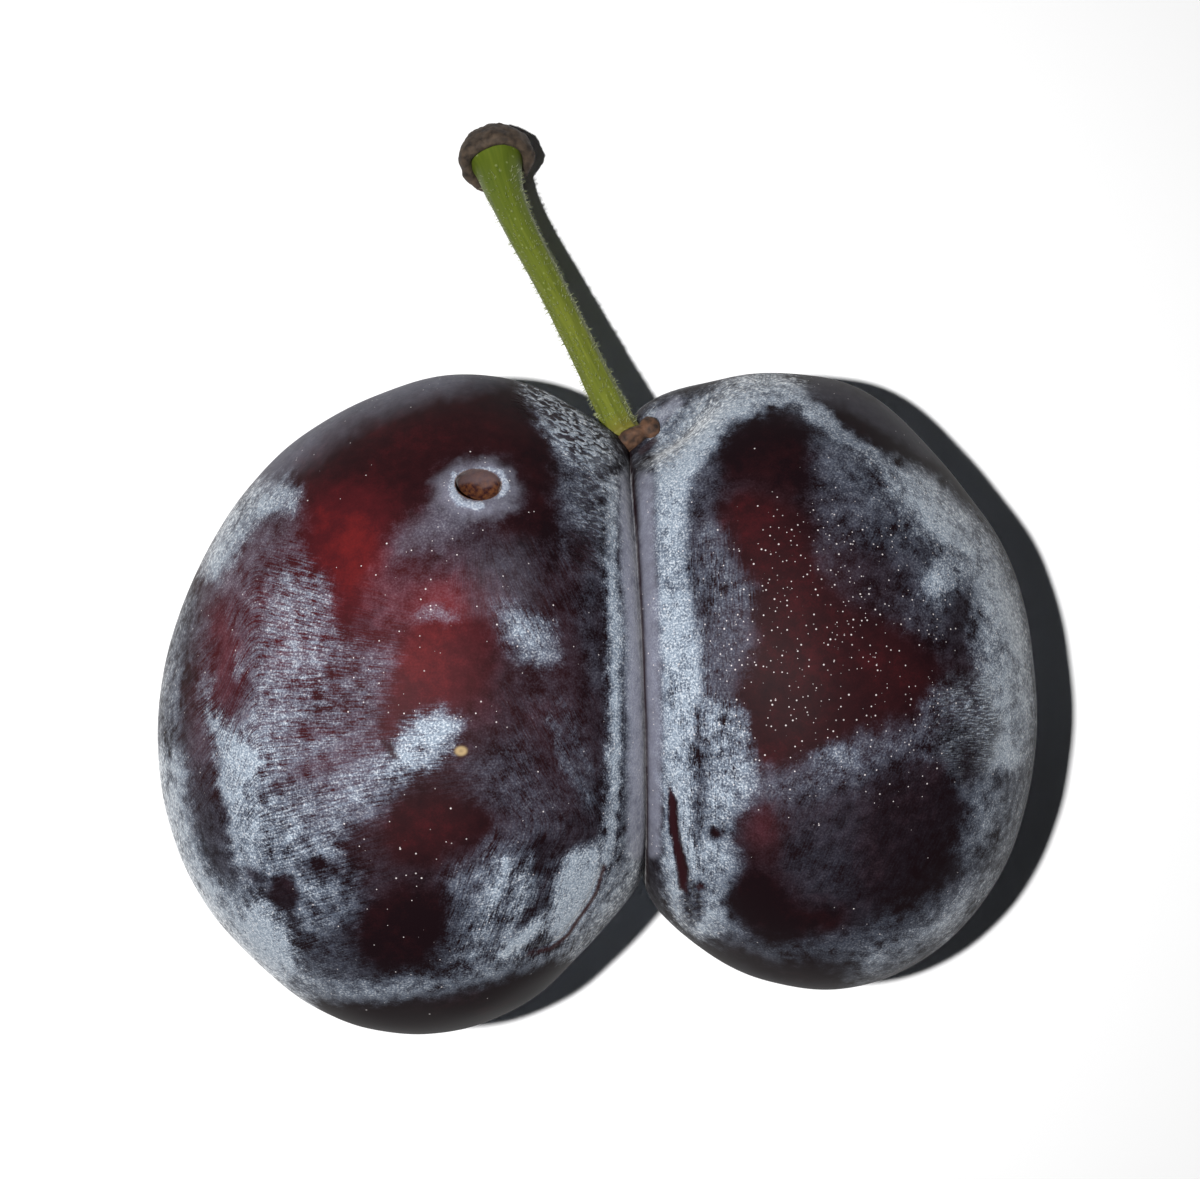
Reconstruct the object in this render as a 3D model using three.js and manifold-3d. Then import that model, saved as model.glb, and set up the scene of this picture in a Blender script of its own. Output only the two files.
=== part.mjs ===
// A twin plum: two drupes that grew together from one flower, on one stalk, lying on its side as picked.
// Millimetres, +Z up. The fruit lies on z = 0, +Y points from the blossom ends to the stalk, and the origin
// is on the surface, under the middle of the fruit and its stalk.
import * as THREE from "three";
import { mergeVertices } from "three/addons/utils/BufferGeometryUtils.js";
import Module from "manifold-3d";

const wasm = await Module();
wasm.setup();

// The seam where the lobes press together: nearly the plane x = SEAM_X, bowed a little towards the left lobe.
const SEAM_X = 2.55;
const SEAM_BOW = 0.0015;
const SEAM_STRAIGHT_Y = -19.4;
// How soon a lobe's side turns into the seam, and how far each lobe's contact face reaches into the other,
// which is what joins them.
const SEAM_KNEE = 0.9;
const SEAM_BITE = 0.25;

// Where the grown skin swells past the plain oval, or sinks below it if rise is negative.
const LEFT_SWELLS = [
  { name: "beside the stalk", at: [1.6, 5.6, 13.5], reach: 2.8, rise: 1.25 },
  { name: "upper outer shoulder", at: [-14.5, 9.2, 15.0], reach: 5.5, rise: -0.45 },
  { name: "lower outer flat", at: [-20.5, -24.0, 13.5], reach: 6.0, rise: -1.25 },
  { name: "lower inner flat", at: [-0.8, -23.0, 15.0], reach: 4.2, rise: -0.85 },
  { name: "outer flank", at: [-26.8, -9.0, 15.0], reach: 6.0, rise: 0.15 },
];
const RIGHT_SWELLS = [
  { name: "beside the stalk", at: [3.0, 8.2, 11.0], reach: 4.2, rise: 1.35 },
  { name: "stalk seat", at: [3.7, 8.3, 17.4], reach: 3.4, rise: -1.75 },
  { name: "shoulder corner", at: [16.2, 10.3, 14.0], reach: 4.0, rise: 0.45 },
  { name: "shoulder flat", at: [20.0, 4.5, 19.0], reach: 4.5, rise: -0.45 },
  { name: "outer flank", at: [26.2, 0.5, 14.0], reach: 4.5, rise: 0.35 },
];

// Driving dimensions of the two lobes. half is half the width, length and thickness of the whole oval,
// lean turns its long axis about Z (negative leans the stalk end to +X), and sink is how deep it sits
// below the surface, which gives it its small flat foot.
const LEFT = {
  side: 1,
  centre: [-10.6, -8.85],
  half: [16.15, 20.25, 15.3],
  lean: THREE.MathUtils.degToRad(-11.5),
  egg: -0.03,
  sink: 0.3,
  swells: LEFT_SWELLS,
};
const RIGHT = {
  side: -1,
  centre: [12.0, -7.6],
  half: [14.45, 19.0, 14.2],
  lean: THREE.MathUtils.degToRad(12),
  egg: 0,
  sink: 0.3,
  swells: RIGHT_SWELLS,
};

// The healed insect hole in the left lobe, as an oval bowl.
const PIT_XY = [-7.1, 3.9];
const PIT_HALF = [1.3, 1.05];
const PIT_DEPTH = 1.1;

// The stalk: its centreline from the fruit to the twig end, and its radius along it.
const STALK_LINE = [
  [1.35, 7.3, 14.5],
  [-1.7, 13.85, 10.9],
  [-3.65, 17.9, 8.7],
  [-5.35, 21.3, 7.0],
  [-6.4, 23.9, 5.5],
  [-7.0, 26.15, 3.9],
];
const STALK_RADIUS = 0.88;
const STALK_FOOT_RADIUS = 1.1;
const STALK_HEAD_RADIUS = 1.55;
// The share of its length over which each end's flare fades, and its ribs as a share of its radius.
const STALK_FOOT_FLARE = 0.1;
const STALK_HEAD_FLARE = 0.13;
const STALK_RIBS = 5;
const STALK_RIB_DEPTH = 0.035;

// The brown cushion at the twig end, where the stalk parted from its spur.
const HEAD_RADIUS = 2.45;
const HEAD_THICKNESS = 2.6;
const HEAD_SOCKET_DEPTH = 0.85;
const HEAD_SCAR_RADIUS = 0.9;
const HEAD_SCAR_DEPTH = 0.3;
// Its uneven edge, as a share of its radius, for three broad lumps and five small ones.
const HEAD_BROAD_LUMPS = 0.03;
const HEAD_SMALL_LUMPS = 0.02;

// The brown receptacle rim at the stalk's foot, with the knob that it carries on its right.
const COLLAR_CENTRE = [1.95, 6.95, 14.6];
const COLLAR_HALF = [1.55, 1.55, 0.7];
const COLLAR_KNOB_CENTRE = [2.85, 7.8, 15.3];
const COLLAR_KNOB_HALF = [0.66, 0.62, 0.78];

// Clear space between neighbouring pieces.
const GAP = 0.3;

const LOBE_SEGMENTS = 48;
const LOBE_RINGS = 36;
// How the rings share out: a few reach to just inside the seam's rim, and many cross it, in radians.
const RINGS_INSIDE_RIM = 0.1;
const RINGS_PAST_RIM = 0.5;
const RIM_INNER_ANGLE = 0.2;
const RIM_OUTER_ANGLE = 0.45;
const STALK_STEPS = 26;
const STALK_SIDES = 20;
const HEAD_SIDES = 28;
const HEAD_LIP_STEPS = 6;
const HEAD_BACK_STEPS = 7;

const skin = new THREE.MeshStandardMaterial({ color: 0x4a2a3a, roughness: 0.5, metalness: 0 });
const green = new THREE.MeshStandardMaterial({ color: 0x7f9a2e, roughness: 0.6, metalness: 0 });
const cork = new THREE.MeshStandardMaterial({ color: 0x6e5a4c, roughness: 0.9, metalness: 0 });
const scar = new THREE.MeshStandardMaterial({ color: 0x6b3f1e, roughness: 0.8, metalness: 0 });

// The seam's x at a given y.
function seamX(y) {
  return SEAM_X - SEAM_BOW * (y - SEAM_STRAIGHT_Y) ** 2;
}

// Distance inside a lobe's seam, after the soft press of one lobe against the other.
function pressed(distance) {
  return SEAM_KNEE * Math.log1p(Math.exp(distance / SEAM_KNEE)) - SEAM_BITE;
}

function centreOf(lobe) {
  return new THREE.Vector3(lobe.centre[0], lobe.centre[1], lobe.half[2] - lobe.sink);
}

// The point of a lobe's skin in the direction of a unit vector from its centre.
function lobePoint(lobe, direction) {
  const [width, length, thickness] = lobe.half;
  const n = new THREE.Vector3(
    direction.x * Math.cos(lobe.lean) + direction.y * Math.sin(lobe.lean),
    -direction.x * Math.sin(lobe.lean) + direction.y * Math.cos(lobe.lean),
    direction.z,
  );
  const fullness = 1 + lobe.egg * n.y;
  const oval = new THREE.Vector3(width * fullness * n.x, length * n.y, thickness * fullness * n.z);
  const point = new THREE.Vector3(
    oval.x * Math.cos(lobe.lean) - oval.y * Math.sin(lobe.lean),
    oval.x * Math.sin(lobe.lean) + oval.y * Math.cos(lobe.lean),
    oval.z,
  ).add(centreOf(lobe));
  let rise = 0;
  for (const swell of lobe.swells) {
    const distance = point.distanceTo(new THREE.Vector3(...swell.at));
    rise += swell.rise * Math.exp(-((distance / swell.reach) ** 2));
  }
  point.addScaledVector(direction, rise);
  const seam = seamX(point.y);
  point.x = seam - lobe.side * pressed(lobe.side * (seam - point.x));
  return point;
}

// The polar angle of a ring: few rings on the hidden contact face, many round the knee of the seam.
function ringAngle(lobe, share) {
  const reach = (lobe.side * (SEAM_X - lobe.centre[0])) / lobe.half[0];
  const rim = Math.acos(reach);
  const knots = [
    [0, 0],
    [RINGS_INSIDE_RIM, rim - RIM_INNER_ANGLE],
    [RINGS_PAST_RIM, rim + RIM_OUTER_ANGLE],
    [1, Math.PI],
  ];
  const i = knots.findIndex(([s]) => share <= s + 1e-9);
  if (i <= 0) return 0;
  const [s0, a0] = knots[i - 1];
  const [s1, a1] = knots[i];
  return a0 + ((a1 - a0) * (share - s0)) / (s1 - s0);
}

function lobeGeometry(lobe) {
  const geometry = new THREE.SphereGeometry(1, LOBE_SEGMENTS, LOBE_RINGS).rotateZ((-lobe.side * Math.PI) / 2);
  const position = geometry.attributes.position;
  const n = new THREE.Vector3();
  for (let i = 0; i < position.count; i++) {
    n.fromBufferAttribute(position, i);
    const polar = Math.acos(THREE.MathUtils.clamp(n.x * lobe.side, -1, 1));
    const turned = ringAngle(lobe, polar / Math.PI);
    const around = Math.hypot(n.y, n.z) || 1;
    n.set(
      lobe.side * Math.cos(turned),
      (n.y / around) * Math.sin(turned),
      (n.z / around) * Math.sin(turned),
    );
    position.setXYZ(i, ...lobePoint(lobe, n).toArray());
  }
  return geometry;
}

// A closed geometry as a manifold-3d solid.
function solidOf(geometry) {
  const bare = geometry.clone();
  bare.deleteAttribute("normal");
  bare.deleteAttribute("uv");
  const merged = mergeVertices(bare, 1e-4);
  return new wasm.Manifold(
    new wasm.Mesh({
      numProp: 3,
      vertProperties: new Float32Array(merged.attributes.position.array),
      triVerts: new Uint32Array(merged.index.array),
    }),
  );
}

function geometryOf(solid) {
  const { numProp, vertProperties, triVerts } = solid.getMesh();
  const geometry = new THREE.BufferGeometry();
  const points = new THREE.InterleavedBuffer(vertProperties, numProp);
  geometry.setAttribute("position", new THREE.InterleavedBufferAttribute(points, 3, 0));
  geometry.setIndex(new THREE.BufferAttribute(triVerts, 1));
  geometry.computeVertexNormals();
  return geometry;
}

// An oval ball, turned so that its own Z points along a direction.
function ovalAt(centre, half, direction, segments = 24, rings = 16) {
  const turn = new THREE.Quaternion().setFromUnitVectors(
    new THREE.Vector3(0, 0, 1),
    direction.clone().normalize(),
  );
  return new THREE.SphereGeometry(1, segments, rings)
    .scale(...half)
    .applyQuaternion(turn)
    .translate(...centre.toArray());
}

// The point and outward normal of a lobe's plain oval, above a point of the surface it lies on.
function skinAbove(lobe, [x, y]) {
  const centre = centreOf(lobe);
  const [width, length, thickness] = lobe.half;
  const dx = x - centre.x;
  const dy = y - centre.y;
  const across = dx * Math.cos(lobe.lean) + dy * Math.sin(lobe.lean);
  const along = -dx * Math.sin(lobe.lean) + dy * Math.cos(lobe.lean);
  const fullness = 1 + (lobe.egg * along) / length;
  const w = width * fullness;
  const t = thickness * fullness;
  const rise = t * Math.sqrt(1 - (across / w) ** 2 - (along / length) ** 2);
  const slopeAcross = across / w ** 2;
  const slopeAlong = along / length ** 2;
  const normal = new THREE.Vector3(
    slopeAcross * Math.cos(lobe.lean) - slopeAlong * Math.sin(lobe.lean),
    slopeAcross * Math.sin(lobe.lean) + slopeAlong * Math.cos(lobe.lean),
    rise / t ** 2,
  ).normalize();
  return { point: new THREE.Vector3(x, y, centre.z + rise), normal };
}

const stalkCurve = new THREE.CatmullRomCurve3(STALK_LINE.map((p) => new THREE.Vector3(...p)));
const footDirection = stalkCurve.getTangentAt(0);
const headPoint = stalkCurve.getPointAt(1);
const headDirection = stalkCurve.getTangentAt(1);

// The rim lies across the stalk's foot, with its knob at its right end.
function collarSolid(grow = 0) {
  const rim = ovalAt(new THREE.Vector3(...COLLAR_CENTRE), COLLAR_HALF.map((h) => h + grow), footDirection);
  const knobHalf = COLLAR_KNOB_HALF.map((h) => h + grow);
  const knob = ovalAt(new THREE.Vector3(...COLLAR_KNOB_CENTRE), knobHalf, footDirection, 18, 12);
  return solidOf(rim).add(solidOf(knob));
}

function stalkRadiusAt(share) {
  const foot = (STALK_FOOT_RADIUS - STALK_RADIUS) * Math.exp(-share / STALK_FOOT_FLARE);
  const head = (STALK_HEAD_RADIUS - STALK_RADIUS) * Math.exp((share - 1) / STALK_HEAD_FLARE);
  return STALK_RADIUS + foot + head;
}

// A turned profile bent along the stalk's centreline, with faint ribs. Grown, it is the stalk with clear
// space on its side and past both ends.
function stalkGeometry(grow = 0) {
  const profile = [new THREE.Vector2(0, 0)];
  for (let i = 0; i <= STALK_STEPS; i++) {
    const share = i / STALK_STEPS;
    profile.push(new THREE.Vector2(stalkRadiusAt(share) + grow, share));
  }
  profile.push(new THREE.Vector2(0, 1));
  const geometry = new THREE.LatheGeometry(profile, STALK_SIDES);
  const frames = stalkCurve.computeFrenetFrames(STALK_STEPS, false);
  const position = geometry.attributes.position;
  for (let i = 0; i < position.count; i++) {
    const share = position.getY(i);
    const around = Math.atan2(position.getZ(i), position.getX(i));
    const rib = 1 + STALK_RIB_DEPTH * Math.cos(STALK_RIBS * around);
    const radius = Math.hypot(position.getX(i), position.getZ(i)) * rib;
    const frame = Math.round(share * STALK_STEPS);
    const point = stalkCurve
      .getPointAt(share)
      .addScaledVector(frames.normals[frame], radius * Math.cos(around))
      .addScaledVector(frames.binormals[frame], -radius * Math.sin(around));
    if (frame === 0) point.addScaledVector(footDirection, -grow);
    if (frame === STALK_STEPS) point.addScaledVector(headDirection, grow);
    position.setXYZ(i, ...point.toArray());
  }
  return geometry;
}

// The cushion: a turned bun with a socket for the stalk's flared end and a shallow scar on its far face.
function headGeometry() {
  const socket = STALK_HEAD_RADIUS * (1 + STALK_RIB_DEPTH) + GAP;
  const lip = (HEAD_RADIUS - socket) / 2;
  const profile = [new THREE.Vector2(0, -HEAD_SOCKET_DEPTH), new THREE.Vector2(socket, -HEAD_SOCKET_DEPTH)];
  for (let i = 0; i <= HEAD_LIP_STEPS; i++) {
    const turn = Math.PI - (i / HEAD_LIP_STEPS) * Math.PI;
    profile.push(new THREE.Vector2(socket + lip + lip * Math.cos(turn), -lip + lip * Math.sin(turn)));
  }
  const back = HEAD_THICKNESS - lip;
  for (let i = 1; i <= HEAD_BACK_STEPS; i++) {
    const turn = (i / HEAD_BACK_STEPS) * (Math.PI / 2);
    const radius = HEAD_SCAR_RADIUS + (HEAD_RADIUS - HEAD_SCAR_RADIUS) * Math.cos(turn);
    profile.push(new THREE.Vector2(radius, -lip - back * Math.sin(turn)));
  }
  profile.push(new THREE.Vector2(HEAD_SCAR_RADIUS / 2, HEAD_SCAR_DEPTH - HEAD_THICKNESS));
  profile.push(new THREE.Vector2(0, HEAD_SCAR_DEPTH - HEAD_THICKNESS));
  const geometry = new THREE.LatheGeometry(profile.reverse(), HEAD_SIDES);
  const position = geometry.attributes.position;
  for (let i = 0; i < position.count; i++) {
    const around = Math.atan2(position.getZ(i), position.getX(i));
    const outer = Math.hypot(position.getX(i), position.getZ(i)) > socket + lip;
    const lumps = HEAD_BROAD_LUMPS * Math.sin(3 * around) + HEAD_SMALL_LUMPS * Math.sin(5 * around);
    const lump = outer ? 1 + lumps : 1;
    position.setXYZ(i, position.getX(i) * lump, position.getY(i), position.getZ(i) * lump);
  }
  // The profile's +Y faces the fruit. The stalk's end stands in the socket.
  const turn = new THREE.Quaternion().setFromUnitVectors(
    new THREE.Vector3(0, 1, 0),
    headDirection.clone().negate(),
  );
  const mouth = headPoint.clone().addScaledVector(headDirection, GAP - HEAD_SOCKET_DEPTH);
  return geometry.applyQuaternion(turn).translate(...mouth.toArray());
}

// The fruit: both lobes in one body, cut by the surface it lies on, the insect hole and the stalk's seat.
const ground = solidOf(new THREE.BoxGeometry(80, 80, 20).translate(0, 0, -10));
const pit = skinAbove(LEFT, PIT_XY);
const pitHalf = [PIT_HALF[0], PIT_HALF[1], PIT_DEPTH];
const fruit = solidOf(lobeGeometry(LEFT))
  .add(solidOf(lobeGeometry(RIGHT)))
  .subtract(ground)
  .subtract(solidOf(ovalAt(pit.point, pitHalf, pit.normal, 24, 14)))
  .subtract(collarSolid(GAP))
  .subtract(solidOf(stalkGeometry(GAP)));

const collar = collarSolid().subtract(solidOf(stalkGeometry(GAP)));

const pieces = [
  ["twin_fruit", geometryOf(fruit), skin],
  ["stalk", stalkGeometry(), green],
  ["stalk_head", headGeometry(), cork],
  ["stalk_collar", geometryOf(collar), scar],
];

const plum = new THREE.Group();
for (const [name, geometry, material] of pieces) {
  const mesh = new THREE.Mesh(geometry, material);
  mesh.name = name;
  plum.add(mesh);
}

export default plum;
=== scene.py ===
"""A twin plum, two drupes grown together on one green stalk, lying on a white board and seen from above."""
import math
import random
from functools import partial

import bmesh
import bpy
import numpy as np
from mathutils import Matrix, Vector, noise
from mathutils.geometry import interpolate_bezier


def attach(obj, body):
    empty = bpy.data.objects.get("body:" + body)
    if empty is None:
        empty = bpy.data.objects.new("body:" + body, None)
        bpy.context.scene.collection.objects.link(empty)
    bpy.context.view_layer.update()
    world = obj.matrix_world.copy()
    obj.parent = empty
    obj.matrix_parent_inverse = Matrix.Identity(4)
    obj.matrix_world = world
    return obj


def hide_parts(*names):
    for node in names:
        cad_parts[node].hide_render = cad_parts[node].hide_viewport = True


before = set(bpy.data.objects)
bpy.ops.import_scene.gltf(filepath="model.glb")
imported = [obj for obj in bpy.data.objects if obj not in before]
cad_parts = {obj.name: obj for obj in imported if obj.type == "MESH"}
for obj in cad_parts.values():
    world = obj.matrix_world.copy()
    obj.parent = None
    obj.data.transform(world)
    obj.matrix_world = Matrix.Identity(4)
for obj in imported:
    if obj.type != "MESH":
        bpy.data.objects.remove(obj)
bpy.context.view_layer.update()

MM = 0.001

# The photograph: its frame in pixels, and the camera that took it, straight above the fruit. Sizes in mm.
PHOTO_WIDTH = 1200
PHOTO_MIDDLE = (600.0, 589.5)
CAMERA_XY = (-0.2, -2.0)
CAMERA_HEIGHT = 160.0
SIGHT_PLANE = 15.0
MM_PER_PIXEL = 0.061
SENSOR_WIDTH = 36.0

# The two lobes, in millimetres, as the solids have them. A swell is (middle, reach, height).
LEFT = dict(
    side=1, centre=(-10.6, -8.85), half=(16.15, 20.25, 15.3), lean=math.radians(-11.5), egg=-0.03,
    swells=[
        ((1.6, 5.6, 13.5), 2.8, 1.25),
        ((-14.5, 9.2, 15.0), 5.5, -0.45),
        ((-20.5, -24.0, 13.5), 6.0, -1.25),
        ((-0.8, -23.0, 15.0), 4.2, -0.85),
        ((-26.8, -9.0, 15.0), 6.0, 0.15),
    ],
)
RIGHT = dict(
    side=-1, centre=(12.0, -7.6), half=(14.45, 19.0, 14.2), lean=math.radians(12), egg=0.0,
    swells=[
        ((3.0, 8.2, 11.0), 4.2, 1.35),
        ((3.7, 8.3, 17.4), 3.4, -1.75),
        ((16.2, 10.3, 14.0), 4.0, 0.45),
        ((20.0, 4.5, 19.0), 4.5, -0.45),
        ((26.2, 0.5, 14.0), 4.5, 0.35),
    ],
)
# The lobes sink a little below the board and are cut flat there.
SINK = 0.3
# They press against each other along a bowed line, each rounded where it meets the line and biting past it.
SEAM_X = 2.55
SEAM_BOW = 0.0015
SEAM_STRAIGHT_Y = -19.4
SEAM_KNEE = 0.6
SEAM_BITE = 0.25

LOBE_SEGMENTS = 180
LOBE_RINGS = 84

PIT_XY = (-7.1, 3.9)
PIT_HALF = (1.3, 1.05, 1.1)

# Fine relief on the skin, in millimetres.
PIT_LIP_HEIGHT = 0.12
WRINKLE_HEIGHT = 0.07
UNEVENNESS = 0.07
# The half width of the painted shade, a dark line along the seam's crease.
SEAM_SHADE_HALF_WIDTH = 0.11

STALK_LINE = [
    (1.35, 7.3, 14.5),
    (-1.7, 13.85, 10.9),
    (-3.65, 17.9, 8.7),
    (-5.35, 21.3, 7.0),
    (-6.4, 23.9, 5.5),
    (-7.0, 26.15, 3.9),
]
STALK_RADIUS = 0.88
STALK_FOOT_RADIUS = 1.12
STALK_HEAD_RADIUS = 1.75
STALK_FOOT_FLARE = 0.1
STALK_HEAD_FLARE = 0.13
STALK_RIBS = 9
STALK_STEPS = 120
STALK_SIDES = 48

# Hairs are thicker than life, so that they show.
HAIRS = 1500
HAIR_LENGTH = (0.12, 0.32)
HAIR_ROOT_RADIUS = 0.024
HAIR_TIP_RADIUS = 0.008
HAIR_SINK = 0.02

HEAD_RADIUS = 2.45
HEAD_THICKNESS = 2.6
HEAD_SOCKET_DEPTH = 0.85
HEAD_SOCKET_RADIUS = 1.7
HEAD_SCAR_RADIUS = 0.9
HEAD_SCAR_DEPTH = 0.3
HEAD_GAP = 0.3

COLLAR_CENTRE = (1.95, 6.95, 14.6)
COLLAR_HALF = (1.55, 1.55, 0.7)
COLLAR_VOXEL = 0.06
KNOB_CENTRE = (2.85, 7.8, 15.3)
KNOB_HALF = (0.66, 0.62, 0.78)


# Places on the skin, in the photograph's pixels.
SEAM_PIXEL = 642
RUBBED_SPOT = ((692, 902), (12, 22))
# How thinly the wax lies where no mark is painted, on the left lobe and on the right one.
THIN_FILM = (0.04, 0.05)


def make_mark(kind, name, at, size, level, turn=0):
    return name, kind, at, size, turn, level


# A patch is an outline through corners x, y, x, y and so on, with its edge's softness. A band is a route with
# its half width. A spot is an oval's middle with its half width and half height, and may end in its turn in
# degrees. A glow is a spot that fades out evenly.
patch, band, spot, glow = (partial(make_mark, kind) for kind in ("patch", "band", "spot", "glow"))

# Marks on the skin, placed by the photograph's pixels. A mark's level is what its middle holds. They are
# painted in order, so a later one covers an earlier one.
LEFT_BLOOM = [
    patch("bare cap and crown", [262, 482, 300, 440, 350, 405, 420, 380, 500, 372, 545, 392, 562, 430,
        566, 500, 556, 536, 520, 545, 470, 528, 430, 526, 400, 525, 384, 560, 366, 615, 345, 628, 328, 592,
        303, 560, 306, 520, 296, 492], 7, 0.0),
    patch("red belly", [352, 640, 400, 600, 470, 590, 500, 640, 490, 700, 460, 712, 410, 722, 380, 742,
        360, 700], 12, 0.005),
    patch("film over the upper belly", [392, 540, 440, 520, 520, 545, 548, 600, 500, 622, 440, 606,
        400, 640, 362, 636, 372, 590], 12, 0.07),
    # Painted highlight: a whitish spot of thin wax at the middle of the left lobe's glow.
    spot("whitish spot", (437, 617), (20, 7), 0.3),
    patch("film left of the crown", [240, 520, 296, 496, 306, 560, 285, 572, 262, 610, 246, 640,
        216, 604], 8, 0.15),
    patch("cheek", [276, 575, 300, 562, 322, 580, 330, 625, 346, 642, 352, 690, 348, 745, 300, 775,
        262, 792, 236, 770, 222, 730, 246, 700, 243, 650, 262, 610], 7, 0.37),
    patch("cheek's bright top", [284, 572, 318, 580, 326, 622, 300, 640, 272, 612], 8, 0.46),
    patch("cheek's thin inner side", [338, 640, 390, 648, 384, 690, 372, 740, 345, 752, 330, 700], 10,
        0.24),
    patch("bright upper edge", [252, 487, 288, 476, 298, 490, 288, 508, 252, 520, 240, 545, 236, 562,
        214, 584, 204, 576, 207, 548, 225, 515], 5, 0.8),
    patch("red left edge", [202, 590, 236, 566, 250, 620, 246, 690, 232, 725, 210, 716, 198, 680,
        188, 640], 8, 0.2),
    patch("bare red blotch", [206, 610, 228, 590, 243, 650, 248, 690, 232, 726, 210, 706], 6, 0.05),
    spot("small bright bits", (240, 667), (5, 10), 0.4),
    spot("small bright bits, outer", (205, 686), (7, 9), 0.36),
    patch("left rim", [150, 650, 180, 575, 196, 600, 184, 650, 182, 720, 188, 780, 184, 830, 160, 800,
        148, 740], 7, 0.36),
    patch("left rim, low", [140, 740, 184, 760, 190, 820, 206, 870, 226, 900, 210, 930, 176, 880,
        150, 820], 8, 0.85),
    patch("wedge's soft side", [222, 728, 268, 745, 284, 800, 280, 856, 250, 872], 14, 0.6),
    patch("bright wedge", [204, 703, 222, 728, 252, 745, 264, 790, 262, 850, 246, 872, 232, 850,
        226, 810, 216, 760], 4, 1.0),
    patch("dark strip", [198, 690, 206, 720, 215, 760, 225, 810, 231, 850, 246, 882, 238, 890, 214, 872,
        197, 830, 191, 780, 188, 730], 4, 0.1),
    patch("belt", [262, 792, 330, 765, 392, 745, 410, 724, 440, 713, 457, 724, 452, 744, 425, 764,
        402, 784, 385, 810, 352, 826, 332, 850, 290, 866, 260, 850], 7, 0.34),
    patch("belt's bright end", [256, 796, 286, 784, 300, 848, 262, 866], 14, 0.62),
    patch("bright inner patch", [402, 735, 415, 722, 440, 712, 458, 724, 450, 747, 425, 765, 398, 775,
        380, 772], 6, 0.74),
    patch("thin red streak in the belt", [266, 786, 300, 770, 346, 742, 354, 752, 312, 776, 274, 792],
        4, 0.14),
    spot("thin red patch in the belt", (315, 732), (30, 9), 0.2, -8),
    patch("lower cheek", [234, 850, 330, 846, 352, 866, 332, 900, 312, 930, 290, 900, 256, 882], 8,
        0.58),
    spot("dark patch by the belt", (328, 870), (36, 11), 0.16, 4),
    patch("streaks on the tip", [300, 900, 350, 890, 372, 905, 350, 940, 312, 945], 10, 0.28),
    patch("haze over the tip", [300, 935, 360, 925, 390, 965, 430, 978, 400, 992, 340, 996, 300, 985],
        12, 0.13),
    patch("lower rim", [200, 878, 246, 894, 263, 906, 276, 935, 296, 965, 310, 996, 262, 980, 228, 940],
        13, 0.9),
    spot("lower rim, brightest", (272, 940), (16, 34), 1.05, -18),
    patch("inner speckle", [560, 450, 604, 462, 608, 560, 590, 590, 568, 540], 14, 0.4),
    patch("maroon belly", [392, 802, 430, 785, 470, 800, 502, 810, 510, 826, 490, 842, 450, 850,
        428, 872, 394, 866, 378, 840], 7, 0.0),
    patch("dark tip", [362, 898, 400, 880, 440, 885, 463, 905, 456, 950, 430, 975, 385, 976, 350, 960,
        348, 928], 8, 0.0),
    patch("haze below the belly", [470, 760, 520, 740, 545, 780, 556, 830, 520, 860, 490, 846, 510, 820,
        480, 795], 12, 0.11),
    patch("silver haze at the low side", [446, 880, 500, 846, 552, 862, 548, 905, 530, 945, 500, 962,
        460, 976, 440, 962, 462, 910], 8, 0.26),
    band("silver stroke one", [500, 868, 488, 918, 470, 962], 9, 0.45),
    band("silver stroke two", [530, 872, 516, 908], 7, 0.56),
    patch("silver stroke three", [562, 866, 594, 848, 602, 880, 582, 925, 552, 945, 546, 918], 6, 0.85),
    band("silver stroke four", [540, 925, 508, 950], 7, 0.6),
    band("dark gap between strokes", [550, 872, 538, 905, 510, 930], 7, 0.06),
    band("bright lower line", [300, 984, 350, 994, 400, 990, 450, 981, 500, 970, 556, 952], 9, 0.45),
    patch("dark lower rim", [325, 1003, 400, 1003, 470, 992, 540, 967, 574, 950, 600, 940, 570, 985,
        500, 1030, 400, 1050, 330, 1030], 5, 0.0),
    patch("rim past the crease", [602, 880, 640, 850, 648, 880, 622, 925, 580, 962, 562, 950, 588, 922],
        5, 0.62),
    patch("grainy inner shoulder", [522, 382, 560, 390, 606, 432, 616, 462, 590, 468, 562, 446,
        540, 412], 8, 1.15),
    patch("dark inner side", [566, 520, 600, 540, 612, 600, 610, 680, 612, 830, 592, 836, 572, 795,
        548, 772, 560, 725, 578, 700, 560, 640], 9, 0.04),
    band("wisps on the inner side", [590, 575, 585, 620, 596, 680], 8, 0.12),
    band("wisps on the low inner side", [566, 720, 580, 770, 590, 800], 9, 0.1),
    patch("bare inner belly", [520, 668, 560, 672, 574, 700, 560, 722, 530, 704], 7, 0.06),
    patch("silver patch", [494, 604, 520, 610, 546, 626, 558, 655, 548, 668, 522, 660, 508, 640], 6,
        0.48),
    # Painted light: the seam valley's left side is lightened against the lamp's shade on this flank.
    band("seam valley", [632, 480, 636, 640, 640, 740, 636, 850], 13, 0.62),
    band("bright line by the seam", [610, 480, 612, 560, 615, 640, 616, 750, 612, 830, 606, 862], 5,
        1.0),
    patch("pit halo", [436, 482, 450, 462, 480, 456, 510, 464, 524, 488, 516, 512, 490, 524, 450, 522,
        432, 505], 7, 0.1),
    patch("pit halo's smear", [400, 530, 440, 500, 470, 520, 440, 545, 402, 556], 10, 0.14),
]
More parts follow.
